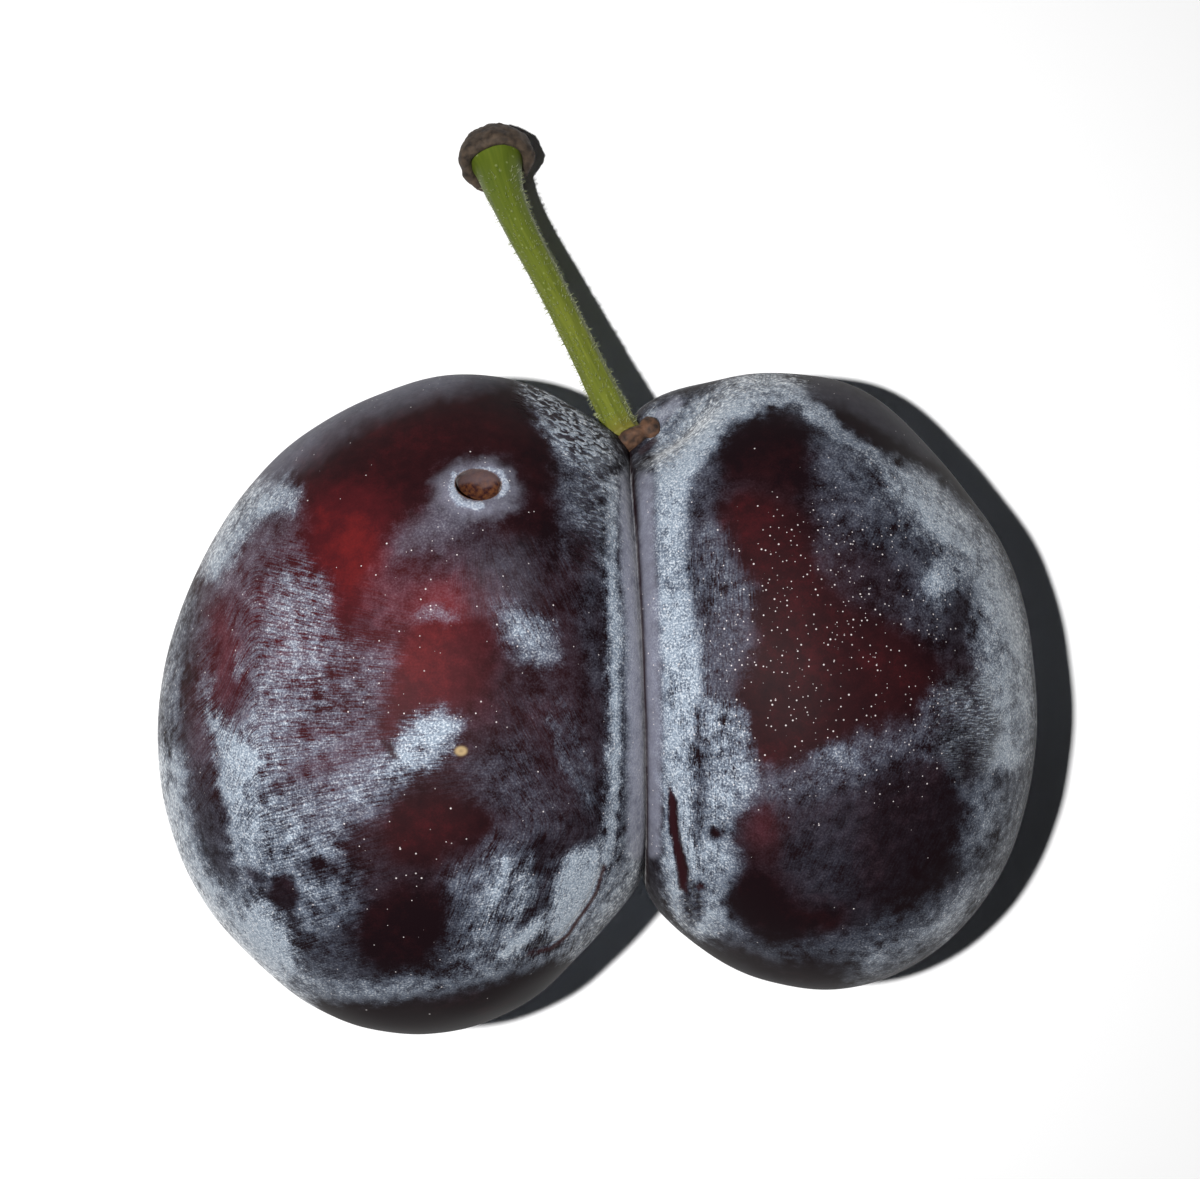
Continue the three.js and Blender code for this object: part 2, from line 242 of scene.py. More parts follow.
RIGHT_BLOOM = [
    patch("seam band", [650, 455, 656, 430, 690, 397, 722, 380, 770, 372, 800, 384, 836, 420, 872, 446,
        884, 464, 846, 456, 820, 430, 796, 405, 770, 408, 735, 424, 712, 450, 700, 476, 689, 502, 687, 545,
        692, 600, 701, 640, 703, 700, 700, 800, 708, 880, 722, 925, 700, 940, 672, 915, 664, 850, 661, 700,
        657, 540], 4, 0.9),
    patch("violet film", [690, 482, 712, 452, 726, 484, 716, 500, 722, 540, 736, 560, 752, 582,
        758, 640, 744, 660, 740, 716, 706, 720, 702, 640, 693, 600, 688, 540], 6, 0.15),
    patch("film on the inner belly", [700, 552, 735, 562, 752, 586, 745, 604, 714, 610, 700, 590], 8,
        0.24),
    spot("small film on the red", (718, 534), (12, 9), 0.3),
    patch("dark cap", [711, 455, 745, 421, 776, 412, 803, 427, 818, 452, 816, 482, 790, 498, 757, 484,
        726, 484], 6, 0.0),
    patch("red belly", [716, 500, 757, 484, 790, 497, 815, 520, 820, 545, 836, 580, 870, 600, 905, 625,
        940, 655, 946, 680, 935, 702, 905, 716, 862, 735, 822, 756, 792, 778, 762, 772, 742, 748, 736, 700,
        745, 660, 758, 640, 752, 585, 736, 560, 722, 540], 7, 0.0),
    patch("grey shoulder", [816, 428, 850, 447, 880, 465, 920, 482, 950, 502, 962, 560, 962, 600,
        940, 645, 905, 622, 870, 598, 836, 578, 820, 540, 816, 480], 9, 0.14),
    patch("grey shoulder, upper", [824, 436, 880, 466, 930, 500, 905, 530, 850, 500, 828, 480], 12,
        0.2),
    spot("grey shoulder, thin", (868, 576), (44, 30), 0.05, 30),
    patch("outer rim", [872, 455, 935, 478, 965, 505, 990, 540, 1015, 590, 1035, 650, 1035, 720,
        1030, 765, 985, 775, 976, 720, 982, 660, 976, 600, 956, 565, 925, 525, 900, 498], 12, 0.85),
    spot("bright outer bit", (942, 575), (16, 26), 0.7, 20),
    patch("dark notch", [958, 592, 972, 578, 976, 600, 966, 626, 960, 650, 944, 662, 940, 642,
        950, 620], 4, 0.06),
    patch("ripples", [930, 704, 956, 680, 985, 700, 985, 770, 1002, 800, 985, 832, 962, 800, 946, 765,
        922, 742], 6, 0.42),
    patch("dark outer patch", [960, 745, 975, 750, 982, 775, 972, 792, 958, 776], 5, 0.04),
    patch("belt", [745, 776, 792, 772, 861, 736, 924, 723, 948, 702, 946, 742, 900, 760, 862, 786,
        820, 802, 776, 815, 752, 802], 8, 0.18),
    spot("bright spot in the belt", (838, 756), (20, 10), 0.4, -14),
    patch("film below the belt", [776, 806, 850, 790, 870, 830, 850, 880, 800, 890, 780, 860], 12,
        0.05),
    patch("lower cheek", [870, 790, 940, 760, 968, 800, 972, 860, 930, 905, 870, 915, 850, 880,
        860, 820], 14, 0.015),
    patch("lower outer rim", [985, 800, 1035, 770, 1030, 830, 1005, 870, 976, 886, 964, 850], 16, 0.38),
    patch("inner edge", [702, 700, 738, 712, 750, 760, 752, 792, 740, 815, 726, 832, 734, 860, 722, 900,
        735, 930, 712, 925, 700, 870, 700, 800], 6, 0.62),
    patch("red spot below the belt", [744, 815, 768, 804, 784, 840, 776, 868, 748, 866, 738, 840], 6,
        0.02),
    patch("dark tip", [724, 884, 748, 864, 780, 870, 802, 900, 850, 905, 852, 930, 800, 943, 760, 938,
        732, 916], 7, 0.0),
    patch("bottom band", [712, 926, 760, 943, 812, 948, 860, 930, 920, 905, 965, 880, 988, 852,
        1012, 845, 990, 900, 950, 945, 900, 975, 850, 995, 826, 985, 868, 960, 830, 960, 780, 957,
        726, 944], 6, 0.18),
    band("bottom band, brightest", [985, 880, 950, 922, 900, 950, 866, 962], 8, 0.5),
    patch("dark lower rim", [690, 940, 740, 954, 800, 964, 848, 972, 850, 1000, 780, 1010, 715, 985,
        690, 955], 4, 0.0),
    patch("dark side of the shoulder", [800, 360, 840, 372, 890, 395, 925, 420, 960, 465, 995, 520,
        962, 502, 935, 477, 890, 456, 850, 437, 826, 410, 806, 388], 5, 0.0),
    patch("dark edge by the seat", [640, 405, 700, 374, 718, 384, 692, 402, 672, 428, 682, 410,
        680, 401, 652, 410], 4, 0.12),
    patch("stalk seat", [650, 411, 679, 402, 681, 411, 666, 426, 652, 432, 645, 424], 3, 0.8),
    patch("violet streaks", [690, 735, 707, 740, 705, 800, 701, 870, 691, 870, 688, 800], 4, 0.34),
    spot("bare mark by the groove", (700, 888), (6, 6), 0.0),
    patch("dark side of the fork", [636, 455, 650, 440, 655, 470, 650, 520, 643, 540, 638, 500], 5,
        0.2),
]
# Marks with clean edges, painted over the bloom: strokes, lines and the pit's lip.
CLEAN_BLOOM = [
    band("dark line by the seam", [624, 660, 626, 760, 622, 830], 2.5, 0.25),
    patch("blot", [270, 880, 285, 871, 297, 880, 302, 896, 296, 909, 274, 908, 264, 896], 3, 0.015),
    patch("blot's tail", [240, 866, 250, 864, 270, 880, 264, 890, 248, 880], 3, 0.08),
    band("stroke one", [507, 862, 498, 890, 488, 925], 4, 0.75),
    band("stroke two", [530, 862, 520, 900, 506, 938], 4, 0.62),
    patch("stroke three", [572, 862, 596, 846, 601, 872, 584, 908, 560, 930, 552, 908], 3, 1.05),
    band("stroke four", [538, 925, 520, 944, 500, 956], 5, 1.1),
    band("wisp one", [548, 718, 566, 762, 590, 802], 3, 0.22),
    band("wisp two", [560, 700, 574, 740, 592, 772], 2, 0.18),
    band("gap by the strokes", [545, 842, 536, 872], 6, 0.03),
    spot("rubbed spot", (692, 904), (12, 22), 0.2),
    band("violet line", [697, 706, 699, 780, 694, 862], 2.2, 0.15),
    band("violet line, outer", [706, 740, 704, 800, 699, 840], 1.8, 0.2),
    band("groove's pale edge", [683, 792, 688, 836, 696, 872], 3, 1.0),
    patch("groove", [668, 782, 676, 798, 681, 840, 689, 868, 688, 893, 679, 889, 673, 850, 667, 820],
        1.5, 0.0),
    spot("bare mark", (716, 833), (8, 8), 0.0),
    band("pit's lip", [460, 473, 480, 468, 497, 471, 505, 482], 2, 0.8),
    band("pit's lip, right", [501, 473, 506, 485, 501, 496], 3, 1.1),
    band("pit's lip, left", [454, 475, 454, 491, 463, 502, 480, 506], 3, 1.3),
]
# Smooth lavender wax that nothing has touched, in the seam's valley and round the pit.
# The same lavender also paints light: sheens along the rims and a lighter left side of the valley.
LEFT_UNTOUCHED_AND_PAINTED_LIGHT = [
    # Painted light: full level on the valley's left side, lighter than the right, against the lamp's shade.
    band("seam valley", [630, 480, 632, 560, 638, 640, 640, 740, 639, 850], 10, 1.0),
    # Painted sheen: a pale band along the cap's rim, standing in for the light the rim reflects.
    patch("sheen on the cap's rim", [268, 484, 336, 432, 404, 398, 470, 382, 500, 376, 480, 350,
        380, 355, 280, 400, 225, 470], 20, 0.55),
    patch("pit halo", [436, 484, 452, 464, 480, 458, 508, 466, 521, 488, 512, 510, 488, 521, 452, 519,
        434, 504], 7, 0.42),
    patch("pit halo's smear", [404, 530, 440, 502, 466, 518, 440, 540, 404, 552], 12, 0.12),
    patch("film below the pit", [470, 560, 520, 545, 540, 600, 500, 625, 470, 610], 16, 0.08),
]
RIGHT_UNTOUCHED_AND_SHEEN = [
    band("seam valley", [645, 480, 648, 560, 652, 640, 654, 740, 652, 850], 8, 0.64),
    band("stalk seat", [656, 420, 668, 410, 676, 404], 7, 0.6),
    # Painted sheens: pale bands on the shoulder and the lower rim, standing in for the light they reflect.
    band("sheen on the shoulder", [820, 388, 880, 412, 930, 448], 11, 0.14),
    band("sheen on the lower rim", [730, 972, 790, 988, 850, 992], 8, 0.03),
]
# Where the flesh's red shows through the skin, and one painted highlight's glow.
FLUSH_AND_HIGHLIGHT = [
    glow("left cap", (405, 455), (165, 105), 0.38),
    glow("left crown", (345, 550), (60, 62), 0.95),
    glow("left cheek", (290, 640), (75, 110), 0.85),
    glow("left edge", (222, 640), (40, 110), 0.78, 8),
    glow("left belly", (420, 655), (105, 95), 0.84),
    # Painted highlight: the red raised into the brownish glow of a highlight on the left lobe.
    glow("left glow", (440, 605), (48, 34), 1.0),
    glow("left belt", (320, 750), (110, 80), 0.62),
    glow("left lower belly", (430, 832), (90, 52), 0.4, -10),
    glow("left inner side", (550, 690), (45, 120), 0.34),
    glow("right upper", (752, 518), (45, 42), 0.4, -14),
    glow("right middle", (790, 600), (80, 90), 0.44, -10),
    glow("right belly", (840, 690), (130, 80), 0.4),
    glow("right lower", (785, 745), (55, 50), 0.3),
    glow("right red spot", (762, 826), (26, 40), 0.5),
]
# Where brushing has drawn the wax out in streaks, near level or near upright as the photo shows them.
LEVEL_STREAKS = [
    spot("left cheek", (310, 720), (130, 140), 1.0),
    spot("left upper cheek", (300, 610), (70, 70), 1.0),
    spot("left belt", (370, 800), (120, 60), 0.9, -12),
    spot("left tip", (340, 910), (90, 70), 0.7),
]
UPRIGHT_STREAKS = [
    spot("left inner low", (520, 900), (90, 70), 0.9),
    spot("left inner side", (520, 590), (70, 60), 1.0),
    patch("left inner side, low", [490, 680, 600, 690, 604, 840, 500, 850], 20, 1.0),
    band("right inner side", [725, 560, 725, 700, 700, 800], 40, 0.9),
    band("right seam side", [690, 690, 694, 880], 22, 1.0),
    spot("right outer ripples", (965, 720), (40, 50), 0.5),
    patch("right lower cheek", [745, 760, 940, 720, 960, 860, 900, 910, 780, 900], 20, 0.6),
    patch("right shoulder", [820, 440, 900, 480, 950, 600, 900, 630, 830, 560], 20, 0.4),
]
# Where the wax lies in wrinkles.
WRINKLES = [
    band("left of the fork", [540, 390, 572, 416, 592, 450], 24, 1.0),
    band("left of the fork, low", [594, 470, 590, 520, 586, 560], 18, 0.7),
    band("right of the fork", [760, 378, 715, 388, 684, 412, 665, 455], 15, 0.35),
    spot("right outer ripples", (965, 725), (34, 56), 0.7),
    spot("rubbed spot", (692, 902), (12, 22), 0.7),
]
# Where the pale breathing pores stand out.
PORES = [
    spot("right belly", (830, 650), (140, 150), 0.55),
    spot("right belly, thickest", (805, 620), (75, 110), 1.0),
    spot("left belly", (420, 640), (120, 110), 0.12),
    spot("left tip", (420, 880), (80, 90), 0.16),
]
# Old scar marks, dark brown, and painted shade under the knob in the same brown.
SCARS_AND_KNOB_SHADE = [
    patch("groove", [669, 784, 676, 800, 680, 840, 688, 868, 687, 893, 679, 889, 674, 850, 669, 820], 2,
        0.8),
    band("crease on the left tip", [604, 866, 596, 893, 588, 906, 577, 921, 568, 935, 552, 948,
        530, 953], 2, 1.0),
    spot("scab's edge", (461, 751), (8.5, 7), 0.7),
    band("small dark mark", [384, 742, 394, 757, 390, 744], 3, 0.9),
    spot("mark by the rubbed spot", (700, 887), (4, 3), 0.8),
    # Painted shade: a dark band under the knob.
    band("dark under the knob", [641, 452, 655, 440], 3, 0.7),
]
# A small tan scab.
SCABS = [
    spot("scab", (461, 751), (6, 4.6), 1.0),
    spot("scab's middle", (461, 751), (2.2, 1.8), 0.75),
]

# Creases that are shape as well as colour: route in photo pixels, half width and depth in millimetres.
GROOVES = [
    ("crease on the left tip", [(603, 868), (588, 905), (562, 940), (540, 949), (512, 952)], 0.16, 0.12),
    ("long scar", [(672, 786), (673, 826), (680, 858), (687, 888)], 0.28, 0.16),
    ("brushed line one", [(684, 752), (686, 800)], 0.14, 0.05),
    ("brushed line two", [(698, 700), (697, 780), (700, 850)], 0.18, 0.06),
]
# Places that get a finer mesh: middle and reach, in photo pixels.
FINE_PLACES = [
    ((482, 490), 40), ((642, 440), 34), ((568, 930), 40), ((600, 885), 26), ((682, 838), 56),
    ((461, 751), 15), ((390, 749), 13),
]
FINEST_PLACES = [((482, 488), 34), ((461, 751), 13), ((674, 812), 30), ((683, 866), 30)]


def colour(hex_code):
    """An sRGB hex colour as linear RGBA."""
    parts = [int(hex_code[i:i + 2], 16) / 255 for i in (1, 3, 5)]
    return [p / 12.92 if p <= 0.04045 else ((p + 0.055) / 1.055) ** 2.4 for p in parts] + [1.0]


def seen(points):
    """Where the camera sees points given in millimetres, in the photograph's pixels."""
    scale = MM_PER_PIXEL * (CAMERA_HEIGHT - points[:, 2]) / (CAMERA_HEIGHT - SIGHT_PLANE)
    across = PHOTO_MIDDLE[0] + (points[:, 0] - CAMERA_XY[0]) / scale
    down = PHOTO_MIDDLE[1] - (points[:, 1] - CAMERA_XY[1]) / scale
    return np.stack([across, down], axis=1)


def smooth_step(value, low, high):
    """0 up to low, 1 from high on, and smooth between them."""
    share = np.clip((value - low) / (high - low), 0.0, 1.0)
    return share * share * (3 - 2 * share)


def noise_at(points, scale, shift=(0, 0, 0)):
    """Smooth noise between -1 and 1 at each point."""
    return np.array([noise.noise(Vector(p) * scale + Vector(shift)) for p in points])


def distance_to_route(pixels, route):
    """Distance from pixels to a route of straight stretches."""
    nearest = np.full(len(pixels), 1e9)
    for start, end in zip(np.array(route[:-1], float), np.array(route[1:], float)):
        along = end - start
        share = np.clip((pixels - start) @ along / (along @ along), 0, 1)
        nearest = np.minimum(nearest, np.linalg.norm(pixels - start - share[:, None] * along, axis=1))
    return nearest


def outside_patch(pixels, corners):
    """Distance from pixels to a closed outline, below zero inside it."""
    inside = np.zeros(len(pixels), bool)
    for (x1, y1), (x2, y2) in zip(corners, corners[1:] + corners[:1]):
        if y1 == y2:
            continue
        crosses = (y1 > pixels[:, 1]) != (y2 > pixels[:, 1])
        inside ^= crosses & (pixels[:, 0] < x1 + (pixels[:, 1] - y1) * (x2 - x1) / (y2 - y1))
    distance = distance_to_route(pixels, corners + corners[:1])
    return np.where(inside, -distance, distance)


def pairs(flat):
    return list(zip(flat[::2], flat[1::2]))


def mark_strength(pixels, mark, blur=0.0):
    """How much of a mark each pixel holds, from 0 outside to 1 inside, its edge widened by a blur."""
    _, kind, at, size, turn, _ = mark
    if kind == "patch":
        softness = size + blur
        return 1 - smooth_step(outside_patch(pixels, pairs(at)), -softness, softness)
    if kind == "band":
        softness = max(0.8, size / 2) + blur
        return 1 - smooth_step(distance_to_route(pixels, pairs(at)), size - softness, size + softness)
    cos, sin = math.cos(math.radians(turn)), math.sin(math.radians(turn))
    away = pixels - np.array(at, float)
    across = (away[:, 0] * cos + away[:, 1] * sin) / size[0]
    down = (-away[:, 0] * sin + away[:, 1] * cos) / size[1]
    if kind == "glow":
        return np.exp(-(across ** 2 + down ** 2))
    softness = 0.34 + blur / max(size)
    return 1 - smooth_step(np.hypot(across, down), 1 - softness, 1 + softness)


def ragged(pixels):
    """Shifts pixels by noise, less beside the seam, so that a mark drawn on them has no clean edge."""
    shifted = pixels.copy()
    free = 0.25 + 0.75 * smooth_step(np.abs(pixels[:, 0] - SEAM_PIXEL), 45, 85)
    for size, strength in ((34, 6), (11, 5), (5, 2.5)):
        for i, pixel in enumerate(pixels):
            at = Vector((pixel[0] / size, pixel[1] / size, size))
            shift = np.array((noise.noise(at), noise.noise(at + Vector((31.7, 5.2, 0)))))
            shifted[i] += strength * free[i] * shift
    return shifted


def painted(pixels, marks, start=0.0, blur=0.0):
    """A layer with the marks painted over it in order."""
    layer = np.zeros(len(pixels)) + start
    for mark in marks:
        layer += (mark[-1] - layer) * mark_strength(pixels, mark, blur)
    return layer


def seam_line(points):
    """The seam's X beside each point."""
    return SEAM_X - SEAM_BOW * (points[:, 1] - SEAM_STRAIGHT_Y) ** 2


def lobe_points(lobe, directions):
    """A lobe's skin, in millimetres, in the directions of unit vectors from its centre."""
    width, length, thickness = lobe["half"]
    cos, sin = math.cos(lobe["lean"]), math.sin(lobe["lean"])
    along = -directions[:, 0] * sin + directions[:, 1] * cos
    fullness = 1 + lobe["egg"] * along
    x = width * fullness * (directions[:, 0] * cos + directions[:, 1] * sin)
    y = length * along
    z = thickness * fullness * directions[:, 2]
    points = np.stack([x * cos - y * sin, x * sin + y * cos, z], axis=1)
    points += np.array([*lobe["centre"], thickness - SINK])
    rise = np.zeros(len(points))
    for at, reach, height in lobe["swells"]:
        rise += height * np.exp(-(np.linalg.norm(points - np.array(at), axis=1) / reach) ** 2)
    points += directions * rise[:, None]
    seam = seam_line(points)
    inside = lobe["side"] * (seam - points[:, 0])
    pressed = SEAM_KNEE * np.logaddexp(0, inside / SEAM_KNEE) - SEAM_BITE
    points[:, 0] = seam - lobe["side"] * pressed
    return points


def skin_relief(points):
    """How far fine relief lowers the skin, in millimetres: creases, the pit's lip, a faint unevenness."""
    pixels = seen(points)
    from_above = smooth_step(points[:, 2], 11.0, 14.0)
    depth = np.zeros(len(points))
    for _, route, half_width, groove_depth in GROOVES:
        reach = distance_to_route(pixels, route) * MM_PER_PIXEL
        depth += groove_depth * np.exp(-(reach / half_width) ** 2) * from_above
    lip = np.hypot((points[:, 0] - PIT_XY[0]) / PIT_HALF[0], (points[:, 1] - PIT_XY[1]) / PIT_HALF[1])
    depth -= PIT_LIP_HEIGHT * np.exp(-((lip - 1.2) / 0.28) ** 2) * from_above
    middle, reach = RUBBED_SPOT
    wrinkled = np.exp(-(np.linalg.norm((pixels - middle) / reach, axis=1)) ** 2) * from_above
    depth += WRINKLE_HEIGHT * wrinkled * np.sin(pixels[:, 0] * 0.9 + pixels[:, 1] * 0.25)
    return depth - UNEVENNESS * noise_at(points, 0.28)


def lobe_mesh(lobe, name):
    """One whole lobe. Its sphere's poles lie on X, so one is hidden in the seam."""
    bm = bmesh.new()
    bmesh.ops.create_uvsphere(bm, u_segments=LOBE_SEGMENTS, v_segments=LOBE_RINGS, radius=1)
    bmesh.ops.rotate(bm, verts=bm.verts, matrix=Matrix.Rotation(math.radians(90), 3, "Y"))
    for places in (None, FINE_PLACES, FINEST_PLACES):
        points = lobe_points(lobe, np.array([v.co for v in bm.verts]))
        pixels = seen(points)
        fine = points[:, 2] > 13
        if places:
            near = np.zeros(len(points), bool)
            for place, reach in places:
                near |= np.linalg.norm(pixels - place, axis=1) < reach
            fine &= near
        bm.verts.index_update()
        edges = [e for e in bm.edges if fine[e.verts[0].index] and fine[e.verts[1].index]]
        bmesh.ops.subdivide_edges(bm, edges=edges, cuts=1, use_grid_fill=True)
        for vert in bm.verts:
            vert.co.normalize()
    directions = np.array([v.co for v in bm.verts])
    points = lobe_points(lobe, directions)
    points -= directions * skin_relief(points)[:, None]
    for vert, point in zip(bm.verts, points):
        vert.co = Vector(point) * MM
    bmesh.ops.triangulate(bm, faces=[f for f in bm.faces if len(f.verts) > 4])
    return mesh_object(bm, name)


def mesh_object(bm, name):
    """Merges doubles, turns the faces out and puts the mesh in the scene as a smooth object."""
    bmesh.ops.remove_doubles(bm, verts=bm.verts, dist=1e-7)
    bmesh.ops.recalc_face_normals(bm, faces=bm.faces)
    mesh = bpy.data.meshes.new(name)
    bm.to_mesh(mesh)
    bm.free()
    smooth(mesh)
    made = bpy.data.objects.new(name, mesh)
    bpy.context.scene.collection.objects.link(made)
    return made


def smooth(mesh):
    mesh.polygons.foreach_set("use_smooth", [True] * len(mesh.polygons))


def oval_ball(name, centre, half, direction, segments=48, rings=32):
    """An oval ball in millimetres, its own Z along a direction."""
    bm = bmesh.new()
    turn = Vector((0, 0, 1)).rotation_difference(Vector(direction)).to_matrix()
    bmesh.ops.create_uvsphere(bm, u_segments=segments, v_segments=rings, radius=1)
    bmesh.ops.scale(bm, vec=Vector(half) * MM, verts=bm.verts)
    bmesh.ops.rotate(bm, verts=bm.verts, matrix=turn)
    bmesh.ops.translate(bm, vec=Vector(centre) * MM, verts=bm.verts)
    return mesh_object(bm, name)


def apply_modifiers(piece):
    bpy.context.view_layer.update()
    graph = bpy.context.evaluated_depsgraph_get()
    mesh = bpy.data.meshes.new_from_object(piece.evaluated_get(graph))
    piece.modifiers.clear()
    piece.data = mesh


def join(body, tool, operation):
    """Joins a tool to a body, or cuts it away, and removes the tool."""
    cut = body.modifiers.new("join", "BOOLEAN")
    cut.operation = operation
    cut.solver = "MANIFOLD"
    cut.object = tool
    apply_modifiers(body)
    bpy.data.objects.remove(tool)


def pit_place():
    """The pit's middle on the skin and the skin's direction there, in millimetres."""
    near = np.array([[PIT_XY[0] - LEFT["centre"][0], PIT_XY[1] - LEFT["centre"][1], 0.0]])
    rises = np.linspace(5.0, 40.0, 400)
    tries = np.repeat(near, len(rises), axis=0)
    tries[:, 2] = rises
    directions = tries / np.linalg.norm(tries, axis=1, keepdims=True)
    points = lobe_points(LEFT, directions)
    best = np.argmin(np.hypot(points[:, 0] - PIT_XY[0], points[:, 1] - PIT_XY[1]))
    half = np.array(LEFT["half"])
    centre = np.array([*LEFT["centre"], half[2] - SINK])
    normal = (points[best] - centre) / half ** 2
    return points[best], normal / np.linalg.norm(normal)


def brush_route(points, pixels, on_left):
    """Places across and along the brush's strokes, in millimetres, for the streaks to follow."""
    # The strokes tilt more towards the left edge, and less or the other way lower down.
    x, y = pixels.T
    slope = -0.26 + 0.26 * smooth_step(y, 600, 710) + 0.28 * smooth_step(y, 700, 830)
    slope += 0.8 * (1 - smooth_step(x, 215, 262))
    low = smooth_step(y, 800, 860) * on_left
    inner = smooth_step(x, 440, 500) * (1 - low) * on_left
    outer = smooth_step(x, 740, 800)
    across = x + (0.34 * low - 0.5 * inner + 0.5 * outer) * (y - 820)
    down = y + slope * (x - 300)
    return np.stack([across, down, points[:, 2] * 4], axis=1) * MM_PER_PIXEL


def read_points(data, name):
    values = np.empty(len(data) * 3)
    data.foreach_get(name, values)
    return values.reshape(-1, 3)


def paint_skin(fruit, pit_middle, pit_direction):
    """Writes the marks on the fruit's points, for its material to read."""
    mesh = fruit.data
    points = read_points(mesh.vertices, "co") / MM
    pixels = seen(points)
    edges = ragged(pixels)
    seam = seam_line(points)
    on_left = points[:, 0] < seam
    # The photo shows the skin above a ragged line, 9.5 to 13.5 mm up.
    sway = noise_at(points, 0.35) + 0.5 * noise_at(points, 1.1)
    from_above = smooth_step(points[:, 2] + 3.0 * sway, 9.5, 13.5)

    def by_side(left, right, start=(0.0, 0.0), blur=0.0):
        return np.where(on_left, painted(edges, left, start[0], blur), painted(edges, right, start[1], blur))

    steady = (pixels + edges) / 2
    bloom = painted(steady, CLEAN_BLOOM, by_side(LEFT_BLOOM, RIGHT_BLOOM, THIN_FILM))
    blurred = painted(steady, CLEAN_BLOOM, by_side(LEFT_BLOOM, RIGHT_BLOOM, THIN_FILM, 8), 2)
    # Where the photo doesn't look, the bloom is mostly whole, with rubbed places.
    hidden = 0.6 - 0.5 * smooth_step(noise_at(points, 0.11, (7.3, 2.1, 5.5)), 0.05, 0.4)
    # In the pit's own frame its wall lies 1 away from its middle.
    turn = np.array(Vector((0, 0, 1)).rotation_difference(Vector(pit_direction)).to_matrix())
    away = np.linalg.norm((points - pit_middle) @ turn / np.array(PIT_HALF), axis=1)
    wound = (away < 1.02) * 1.0
    rim = np.exp(-((away - 1.0) / 0.04) ** 2)
    layers = {
        "bloom": bloom * from_above + hidden * (1 - from_above),
        "fray": (blurred - bloom) * from_above,
        # Wax that nothing has touched, with the painted sheens and painted light drawn in its lavender.
        "untouched_and_painted_light": by_side(LEFT_UNTOUCHED_AND_PAINTED_LIGHT, RIGHT_UNTOUCHED_AND_SHEEN) * from_above,
        "flush_and_highlight": painted(edges, FLUSH_AND_HIGHLIGHT) * from_above + 0.15 * (1 - from_above),
        "level_streaks": painted(edges, LEVEL_STREAKS) * from_above,
        "upright_streaks": painted(edges, UPRIGHT_STREAKS) * from_above,
        "wrinkled": painted(edges, WRINKLES) * from_above,
        "pores": painted(pixels, PORES) * from_above,
        "scars_and_knob_shade": np.maximum(painted(pixels, SCARS_AND_KNOB_SHADE), 0.75 * rim) * from_above,
        "scabs": painted(pixels, SCABS) * from_above,
        "steep": 1 - smooth_step(np.abs(read_points(mesh.vertex_normals, "vector")[:, 2]), 0.25, 0.75),
        # Painted shade: a dark line along the seam's crease.
        "crease": np.exp(-(np.abs(points[:, 0] - seam) / SEAM_SHADE_HALF_WIDTH) ** 2),
        "wound": wound,
        "pit_wall": wound * (1 - smooth_step(edges[:, 1], 478, 486)),
    }
    for name, values in layers.items():
        mesh.attributes.new(name, "FLOAT", "POINT").data.foreach_set("value", values.astype(np.float32))
    brush = mesh.attributes.new("brush", "FLOAT_VECTOR", "POINT")
    brush.data.foreach_set("vector", brush_route(points, pixels, on_left).astype(np.float32).ravel())


def twin_fruit():
    """Both lobes in one body, cut where it lies, with the insect hole."""
    fruit = lobe_mesh(LEFT, "plum_fruit")
    join(fruit, lobe_mesh(RIGHT, "right_lobe"), "UNION")
    bm = bmesh.new()
    bmesh.ops.create_cube(bm, size=0.08)
    bmesh.ops.translate(bm, vec=(0, 0, -0.04), verts=bm.verts)
    join(fruit, mesh_object(bm, "ground"), "DIFFERENCE")
    middle, direction = pit_place()
    join(fruit, oval_ball("pit", middle, PIT_HALF, direction, 56, 40), "DIFFERENCE")
    smooth(fruit.data)
    fruit.data.set_sharp_from_angle(angle=math.radians(40))
    paint_skin(fruit, middle, direction)
    return fruit


def stalk_samples():
    """Even steps along the stalk's centreline: points, directions and its length, in millimetres."""
    line = [Vector(p) for p in STALK_LINE]
    ends = [line[0] * 2 - line[1]] + line + [line[-1] * 2 - line[-2]]
    dense = []
    for before, start, end, after in zip(ends, ends[1:], ends[2:], ends[3:]):
        handles = (start + (end - before) / 6, end - (after - start) / 6)
        dense += interpolate_bezier(start, *handles, end, 60)[:-1]
    dense.append(line[-1])
    dense = np.array(dense)
    travelled = np.concatenate([[0], np.cumsum(np.linalg.norm(np.diff(dense, axis=0), axis=1))])
    wanted = np.linspace(0, travelled[-1], STALK_STEPS + 1)
    points = np.stack([np.interp(wanted, travelled, dense[:, i]) for i in range(3)], axis=1)
    directions = np.gradient(points, axis=0)
    return points, directions / np.linalg.norm(directions, axis=1, keepdims=True), travelled[-1]


def stalk_radius(share, around):
    """The stalk's radius: a flare at each end, with ribs that are strongest at its foot."""
    foot = (STALK_FOOT_RADIUS - STALK_RADIUS) * math.exp(-share / STALK_FOOT_FLARE)
    head = (STALK_HEAD_RADIUS - STALK_RADIUS) * math.exp((share - 1) / STALK_HEAD_FLARE)
    ribs = (0.02 + 0.03 * math.exp(-share / 0.2)) * math.sin(STALK_RIBS * around + 4 * share)
    lumps = 0.03 * noise.noise(Vector((math.cos(around), math.sin(around), share * 14)))
    return STALK_RADIUS + foot + head + ribs + lumps


def outward(direction, around):
    """The unit vector that stands out from the stalk at an angle round it."""
    side = Vector(direction).cross(Vector((0, 0, 1))).normalized()
    up = side.cross(Vector(direction)).normalized()
    return side * math.cos(around) + up * math.sin(around)


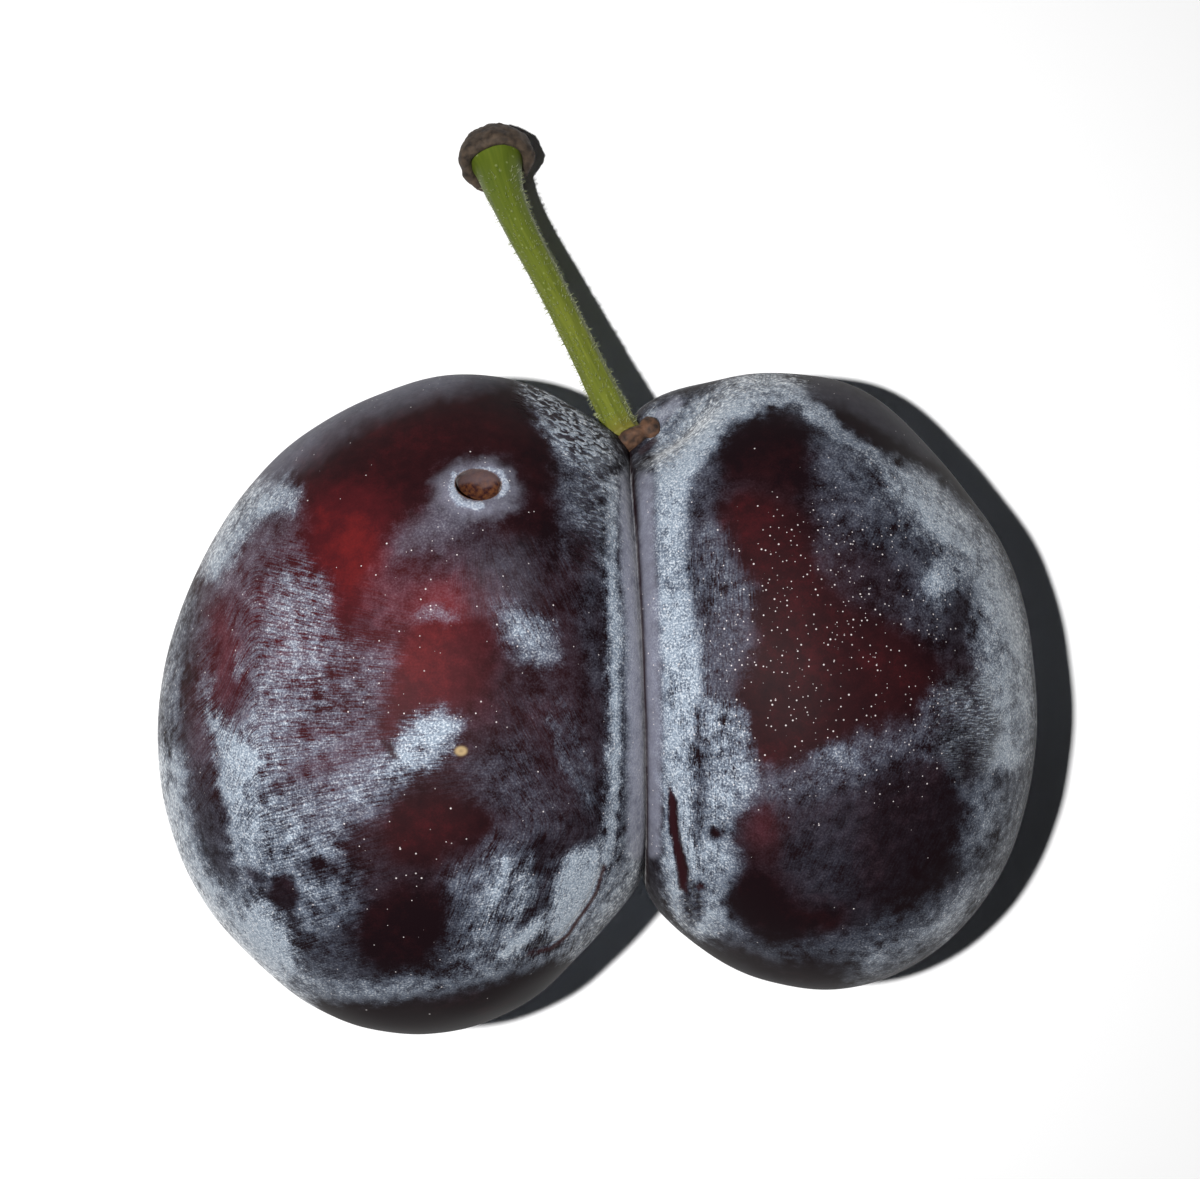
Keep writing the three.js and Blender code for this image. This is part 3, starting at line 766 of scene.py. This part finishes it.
def stalk():
    """The green stalk, one ring extruded along its centreline."""
    points, directions, length = stalk_samples()
    bm = bmesh.new()
    fibre = bm.verts.layers.float_vector.new("fibre")
    bmesh.ops.create_circle(bm, cap_ends=True, segments=STALK_SIDES, radius=1)
    ring = list(bm.verts)
    edges = [e for e in bm.edges if e.is_boundary]
    for step, (point, direction) in enumerate(zip(points, directions)):
        if step:
            grown = bmesh.ops.extrude_edge_only(bm, edges=edges)["geom"]
            ring = [g for g in grown if isinstance(g, bmesh.types.BMVert)]
            edges = [g for g in grown if isinstance(g, bmesh.types.BMEdge)]
        share = step / STALK_STEPS
        for i, vert in enumerate(ring):
            around = 2 * math.pi * i / STALK_SIDES
            vert.co = (Vector(point) + outward(direction, around) * stalk_radius(share, around)) * MM
            vert[fibre] = (math.cos(around), math.sin(around), share * length)
    bmesh.ops.contextual_create(bm, geom=edges)
    return mesh_object(bm, "plum_stalk")


def stalk_hairs():
    """Short fine hairs on the stalk, three-sided, thickest near its foot."""
    points, directions, _ = stalk_samples()
    draw = random.Random(11)
    bm = bmesh.new()
    for _ in range(HAIRS):
        share = draw.random() ** 1.1 * 0.93
        around = draw.uniform(0, 2 * math.pi)
        step = int(share * STALK_STEPS)
        out = outward(directions[step], around)
        tilt = (out + Vector(directions[step]) * draw.uniform(-0.5, 0.5)).normalized()
        length = draw.uniform(*HAIR_LENGTH)
        root = Vector(points[step]) + out * (stalk_radius(share, around) - HAIR_SINK)
        turn = Vector((0, 0, 1)).rotation_difference(tilt).to_matrix().to_4x4()
        bmesh.ops.create_cone(
            bm, cap_ends=True, segments=3, radius1=HAIR_ROOT_RADIUS * MM, radius2=HAIR_TIP_RADIUS * MM,
            depth=length * MM, matrix=Matrix.Translation((root + tilt * length / 2) * MM) @ turn,
        )
    return mesh_object(bm, "plum_stalk_hairs")


def head_profile():
    """Half of the cushion's section from its socket's middle round to its scar, in millimetres."""
    lip = (HEAD_RADIUS - HEAD_SOCKET_RADIUS) / 2
    profile = [(0.0, -HEAD_SOCKET_DEPTH), (HEAD_SOCKET_RADIUS * 0.6, -HEAD_SOCKET_DEPTH)]
    for i in range(13):
        turn = math.pi - i / 12 * math.pi
        profile.append((HEAD_SOCKET_RADIUS + lip + lip * math.cos(turn), -lip + lip * math.sin(turn)))
    for i in range(1, 17):
        turn = i / 16 * math.pi / 2
        radius = HEAD_SCAR_RADIUS + (HEAD_RADIUS - HEAD_SCAR_RADIUS) * math.cos(turn)
        profile.append((radius, -lip - (HEAD_THICKNESS - lip) * math.sin(turn)))
    scar = [(HEAD_SCAR_RADIUS * 0.5, 0.25 - HEAD_THICKNESS), (0.0, HEAD_SCAR_DEPTH - HEAD_THICKNESS)]
    return profile + scar


def stalk_head():
    """The corky cushion: its section spun round its axis, then made lumpy."""
    bm = bmesh.new()
    verts = [bm.verts.new((x, 0, z)) for x, z in head_profile()]
    edges = [bm.edges.new(pair) for pair in zip(verts, verts[1:])]
    bmesh.ops.spin(
        bm, geom=verts + edges, cent=(0, 0, 0), axis=(0, 0, 1), angle=2 * math.pi, steps=72, use_merge=True
    )
    bmesh.ops.remove_doubles(bm, verts=bm.verts, dist=1e-5)
    points, directions, _ = stalk_samples()
    turn = Vector((0, 0, 1)).rotation_difference(-Vector(directions[-1])).to_matrix()
    mouth = Vector(points[-1]) + Vector(directions[-1]) * (HEAD_GAP - HEAD_SOCKET_DEPTH)
    for vert in bm.verts:
        at = vert.co.copy()
        around = math.atan2(at.y, at.x)
        broad = 1 + 0.03 * math.sin(3 * around) + 0.02 * math.sin(5 * around)
        lump = 0.16 * noise.noise(at * 0.9) + 0.09 * noise.noise(at * 2.6) + 0.05 * noise.noise(at * 6)
        out = Vector((at.x, at.y, at.z + HEAD_THICKNESS / 2)).normalized()
        vert.co = turn @ (Vector((at.x * broad, at.y * broad, at.z)) + out * lump) + mouth
        vert.co *= MM
    return mesh_object(bm, "plum_stalk_head")


def stalk_collar():
    """The flower's dried base: an uneven rim with its knob, grown together."""
    _, directions, _ = stalk_samples()
    collar = oval_ball("plum_stalk_collar", COLLAR_CENTRE, COLLAR_HALF, directions[0])
    join(collar, oval_ball("knob", KNOB_CENTRE, KNOB_HALF, directions[0]), "UNION")
    skin = collar.modifiers.new("grown", "REMESH")
    skin.mode = "VOXEL"
    skin.voxel_size = COLLAR_VOXEL * MM
    apply_modifiers(collar)
    bm = bmesh.new()
    bm.from_mesh(collar.data)
    for _ in range(6):
        bmesh.ops.smooth_vert(
            bm, verts=bm.verts, factor=0.5, use_axis_x=True, use_axis_y=True, use_axis_z=True
        )
    bm.normal_update()
    for vert in bm.verts:
        at = vert.co / MM
        vert.co += vert.normal * MM * (0.07 * noise.noise(at * 1.6) + 0.035 * noise.noise(at * 5))
    bm.to_mesh(collar.data)
    bm.free()
    smooth(collar.data)
    return collar


def add(tree, kind, links=None, out=0, **settings):
    """Adds a shader node with its settings, sets or links its inputs, and gives one of its outputs."""
    made = tree.nodes.new("ShaderNode" + kind)
    for name, value in settings.items():
        setattr(made, name, value)
    for socket, value in (links or {}).items():
        if isinstance(value, bpy.types.NodeSocket):
            tree.links.new(value, made.inputs[socket])
        else:
            made.inputs[socket].default_value = value
    return made.outputs[out]


def attribute(tree, name, out="Fac"):
    return add(tree, "Attribute", attribute_name=name, out=out)


def pattern(tree, place, scale, detail, distortion=0.0):
    """Smooth noise between 0 and 1."""
    links = {"Vector": place, "Scale": scale, "Detail": detail, "Distortion": distortion}
    return add(tree, "TexNoise", links)


def stretched(tree, place, scale):
    return add(tree, "Mapping", {"Vector": place, "Scale": scale})


def times(tree, first, second, plus=0.0, **settings):
    """Two values multiplied, with a third added."""
    return add(tree, "Math", {0: first, 1: second, 2: plus}, operation="MULTIPLY_ADD", **settings)


def minus(tree, first, second):
    return add(tree, "Math", {0: first, 1: second}, operation="SUBTRACT")


def ranged(tree, value, start, end, low=0.0, high=1.0, **settings):
    """Low where the value is at start, high where it is at end, and held there past them."""
    links = {"Value": value, "From Min": start, "From Max": end, "To Min": low, "To Max": high}
    return add(tree, "MapRange", links, **settings)


def mixed(tree, share, first, second):
    """Two colours mixed, each a socket or a hex code."""
    first, second = (colour(c) if isinstance(c, str) else c for c in (first, second))
    return add(tree, "Mix", {0: share, 6: first, 7: second}, out=2, data_type="RGBA")


def bump(tree, shader, height, strength, distance_mm, below=None):
    """Links relief to the shader, over the relief below, and gives its normal."""
    links = {"Height": height, "Strength": strength, "Distance": distance_mm * MM}
    if below:
        links["Normal"] = below
    normal = add(tree, "Bump", links)
    tree.links.new(normal, shader.inputs["Normal"])
    return normal


def new_material(name):
    made = bpy.data.materials.new(name)
    made.use_nodes = True
    return made, made.node_tree, made.node_tree.nodes["Principled BSDF"]


def wax_cover(tree, read, brush, grain, clumps, blotches, folds):
    """How thick the wax lies, from 0 where the skin is bare to 1."""
    level = pattern(tree, stretched(tree, brush, (0.6, 6.0, 0.4)), 1.6, 4.0, 0.6)
    upright = pattern(tree, stretched(tree, brush, (6.0, 0.6, 0.4)), 1.6, 4.0, 1.2)
    # Each texture thickens or thins the film in proportion to what lies there.
    uneven = 0.0
    for texture, strength in (
        (grain, 1.3),
        (clumps, 2.0),
        (blotches, 1.6),
        (level, times(tree, read["level_streaks"], 2.6)),
        (upright, times(tree, read["upright_streaks"], 2.6)),
    ):
        uneven = times(tree, minus(tree, texture, 0.5), strength, uneven)
    frayed = times(tree, times(tree, uneven, 1.8, 0.5), read["fray"], read["bloom"])
    reach = times(tree, minus(tree, 2.0, frayed), frayed)
    cover = times(tree, uneven, reach, frayed, use_clamp=True)
    # Where the wax has wrinkled, dark skin shows between its folds.
    gaps = times(tree, ranged(tree, folds, 0.54, 0.44, 0.0, 0.95), read["wrinkled"])
    return times(tree, cover, minus(tree, 1.0, gaps))


def bare_skin(tree, read, grain, clumps, blotches):
    """Purple black, with the flesh's crimson showing through where it is flushed."""
    mottle = times(tree, blotches, 0.6, read["flush_and_highlight"])
    mottle = times(tree, clumps, 0.45, mottle)
    mottle = minus(tree, times(tree, grain, 0.3, mottle), 0.7)
    skin = add(tree, "ValToRGB", {0: mottle})
    ramp = skin.node.color_ramp
    ramp.elements[0].color = colour("#150a0e")
    ramp.elements[1].color = colour("#601b1c")
    ramp.elements.new(0.35).color = colour("#281013")
    ramp.elements.new(0.7).color = colour("#421519")
    return skin


def wax_colour(tree, read, grain, cover):
    """Bluish where thin, grey where thick, with darker dents and painted glints, stronger on steep sides."""
    wax = mixed(tree, cover, "#68768e", "#8b97a5")
    contrast = ranged(tree, read["steep"], 0.0, 1.0, 0.65, 1.3)
    grainy = times(tree, ranged(tree, cover, 0.1, 0.6, 0.3, 1.0), contrast)
    dents = times(tree, ranged(tree, grain, 0.49, 0.36, 0.0, 0.5), grainy)
    wax = mixed(tree, dents, wax, "#4b525e")
    # Painted glints: silver points where wax grains would catch the light.
    painted_glints = times(tree, ranged(tree, grain, 0.5, 0.7, 0.0, 0.75), grainy)
    return mixed(tree, painted_glints, wax, "#f4f7f9")


def pores_and_painted_sparkles(tree, place, chance):
    """Breathing pores and painted sparkles of wax grains catching the light: pale points about 0.05 mm
    across.
    """
    cells = add(tree, "TexVoronoi", {"Vector": place, "Scale": 1000 / 0.28})
    draw = add(tree, "SeparateColor", {"Color": cells.node.outputs["Color"]})
    size = times(tree, draw.node.outputs[1], 0.14, 0.1)
    shown = add(tree, "Math", {0: draw, 1: chance}, operation="LESS_THAN")
    return times(tree, ranged(tree, cells, size, 0.04), shown)


def plum_skin():
    """Ripe plum skin under wax bloom: taut and softly glossy where bare, dull and granular where waxed."""
    made, tree, shader = new_material("ripe_plum_skin_under_wax_bloom")
    read = {
        name: attribute(tree, name)
        for name in (
            "bloom", "fray", "untouched_and_painted_light", "flush_and_highlight", "level_streaks", "upright_streaks", "wrinkled", "pores",
            "scars_and_knob_shade", "scabs", "crease", "wound", "pit_wall", "steep",
        )
    }
    place = add(tree, "TexCoord", out="Object")
    brush = attribute(tree, "brush", "Vector")

    # Wax grains are about 0.02 mm, too fine to show, so they are drawn at 0.11 mm, or 0.2 mm on steep sides.
    fine = pattern(tree, place, 1000 / 0.11, 2.0)
    coarse = pattern(tree, place, 1000 / 0.2, 2.0)
    grain = add(tree, "Mix", {0: read["steep"], 2: fine, 3: coarse})
    clumps = pattern(tree, place, 1000 / 0.7, 4.0)
    blotches = pattern(tree, place, 1000 / 3.2, 3.0)
    folds = pattern(tree, stretched(tree, brush, (1.0, 1.9, 1.0)), 2.4, 3.0, 0.6)

    cover = wax_cover(tree, read, brush, grain, clumps, blotches, folds)
    skin = bare_skin(tree, read, grain, clumps, blotches)
    base = mixed(tree, cover, skin, wax_colour(tree, read, grain, cover))
    # Lavender wax that nothing has touched, which also carries the painted sheens and the left valley's
    # painted light.
    soft = times(tree, times(tree, clumps, 0.5, 0.66), read["untouched_and_painted_light"], use_clamp=True)
    base = mixed(tree, soft, base, mixed(tree, grain, "#72738a", "#a2a4ae"))
    waxed = add(tree, "Math", {0: cover, 1: soft}, operation="MAXIMUM")
    # Pores where the pores layer holds them, and painted sparkles: a few everywhere, more over the wax.
    chance = times(tree, read["pores"], 0.85, times(tree, waxed, 0.38, 0.012))
    base = mixed(tree, pores_and_painted_sparkles(tree, place, chance), base, "#e6dedd")

    cork = ranged(tree, pattern(tree, place, 1000 / 0.24, 3.0), 0.36, 0.64)
    cork = mixed(tree, cork, "#22100a", "#95602f")
    cork = mixed(tree, times(tree, read["pit_wall"], 0.7), cork, "#a08f90")
    base = mixed(tree, read["wound"], base, cork)
    # Dark brown scar marks, and painted shade under the knob.
    base = mixed(tree, read["scars_and_knob_shade"], base, "#2a1216")
    base = mixed(tree, read["scabs"], base, "#a08a66")
    # Painted shade along the seam's crease.
    base = mixed(tree, read["crease"], base, "#24151a")
    tree.links.new(base, shader.inputs["Base Color"])

    tree.links.new(ranged(tree, cover, 0.0, 1.0, 0.55, 0.7), shader.inputs["Roughness"])
    tree.links.new(times(tree, cover, 0.3), shader.inputs["Sheen Weight"])
    shader.inputs["Sheen Roughness"].default_value = 0.5
    shader.inputs["IOR"].default_value = 1.45
    shader.inputs["Specular IOR Level"].default_value = 0.06
    grains = bump(tree, shader, times(tree, grain, cover), 0.8, 0.05)
    bump(tree, shader, times(tree, folds, read["wrinkled"]), 1.0, 0.3, grains)
    return made


def green_stalk():
    """Fresh green stalk: smooth fibrous rind with pale breathing dots, yellower at its foot."""
    made, tree, shader = new_material("fresh_green_plum_stalk")
    fibre = attribute(tree, "fibre", "Vector")
    along = add(tree, "SeparateXYZ", {"Vector": fibre}, out="Z")
    long_grain = pattern(tree, stretched(tree, fibre, (5.0, 5.0, 0.35)), 1.3, 4.0)
    green = mixed(tree, long_grain, "#3c4a13", "#7d832f")
    green = mixed(tree, ranged(tree, along, 8.0, 23.0, 0.0, 0.55), green, "#485d16")
    green = mixed(tree, ranged(tree, along, 1.3, 0.2, 0.0, 0.6), green, "#6b5f28")
    dots = stretched(tree, fibre, (2.6, 2.6, 1.9))
    dots = add(tree, "TexVoronoi", {"Vector": dots, "Scale": 1.0})
    dots = ranged(tree, dots, 0.22, 0.1, 0.0, 0.4, interpolation_type="SMOOTHSTEP")
    tree.links.new(mixed(tree, dots, green, "#9aa26c"), shader.inputs["Base Color"])
    shader.inputs["Roughness"].default_value = 0.55
    shader.inputs["Specular IOR Level"].default_value = 0.2
    bump(tree, shader, long_grain, 0.5, 0.05)
    return made


def bark(name, dark, light, size_mm, relief_mm):
    """Dull dead tissue, cork or a dried flower base: matt, mottled and rough to the touch."""
    made, tree, shader = new_material(name)
    place = add(tree, "TexCoord", out="Object")
    mottle = pattern(tree, place, 1000 / size_mm, 5.0)
    tone = mixed(tree, ranged(tree, mottle, 0.32, 0.68), dark, light)
    tree.links.new(tone, shader.inputs["Base Color"])
    shader.inputs["Roughness"].default_value = 0.8
    bump(tree, shader, mottle, 0.8, relief_mm)
    return made


def plain(name, hex_code, roughness):
    """One colour all over."""
    made, _, shader = new_material(name)
    shader.inputs["Base Color"].default_value = colour(hex_code)
    shader.inputs["Roughness"].default_value = roughness
    return made


def dress(piece, material, slot, *nodes):
    """Gives a piece its material, and its place among the solids."""
    piece.data.materials.clear()
    piece.data.materials.append(material)
    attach(piece, "root")
    if nodes:
        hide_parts(*nodes)


def camera():
    data = bpy.data.cameras.new("camera_above")
    made = bpy.data.objects.new("camera_above", data)
    bpy.context.scene.collection.objects.link(made)
    made.location = (CAMERA_XY[0] * MM, CAMERA_XY[1] * MM, CAMERA_HEIGHT * MM)
    data.sensor_width = SENSOR_WIDTH
    data.lens = SENSOR_WIDTH * (CAMERA_HEIGHT - SIGHT_PLANE) / (PHOTO_WIDTH * MM_PER_PIXEL)
    data.clip_start = 0.01
    bpy.context.scene.camera = made


def lamp(name, place_mm, size_mm, watts):
    """A square lamp that faces the fruit's middle."""
    data = bpy.data.lights.new(name, "AREA")
    data.size = size_mm * MM
    data.energy = watts
    made = bpy.data.objects.new(name, data)
    bpy.context.scene.collection.objects.link(made)
    made.location = Vector(place_mm) * MM
    towards = Vector((0, -5 * MM, 15 * MM)) - made.location
    made.rotation_euler = towards.to_track_quat("-Z", "Y").to_euler()


def studio():
    """A white board, a small lamp just left of the lens and a soft one above the stalk end."""
    bm = bmesh.new()
    bmesh.ops.create_grid(bm, x_segments=1, y_segments=1, size=1.5)
    board = mesh_object(bm, "white_board")
    board.data.materials.append(plain("matt_white_board", "#fbfbfb", 0.9))
    lamp("key_beside_lens", (-29, -2, 185), 4, 0.43)
    lamp("soft_above_stalk_end", (-20, 140, 330), 120, 0.005)
    world = bpy.data.worlds.new("soft_room")
    bpy.context.scene.world = world
    world.use_nodes = True
    world.node_tree.nodes["Background"].inputs["Color"].default_value = colour("#ffffff")
    world.node_tree.nodes["Background"].inputs["Strength"].default_value = 0.006
    bpy.context.scene.view_settings.view_transform = "Standard"


camera()
studio()
dress(twin_fruit(), plum_skin(), "skin", "twin_fruit")
dress(stalk(), green_stalk(), "stalk_green", "stalk")
dress(stalk_hairs(), plain("pale_plant_hair", "#9aa076", 0.5), "stalk_green")
cork = bark("grey_brown_stalk_cork", "#20160e", "#524335", 0.5, 0.12)
dress(stalk_head(), cork, "cork", "stalk_head")
dried = bark("dried_flower_base", "#20130c", "#5e402c", 0.45, 0.08)
dress(stalk_collar(), dried, "collar_brown", "stalk_collar")
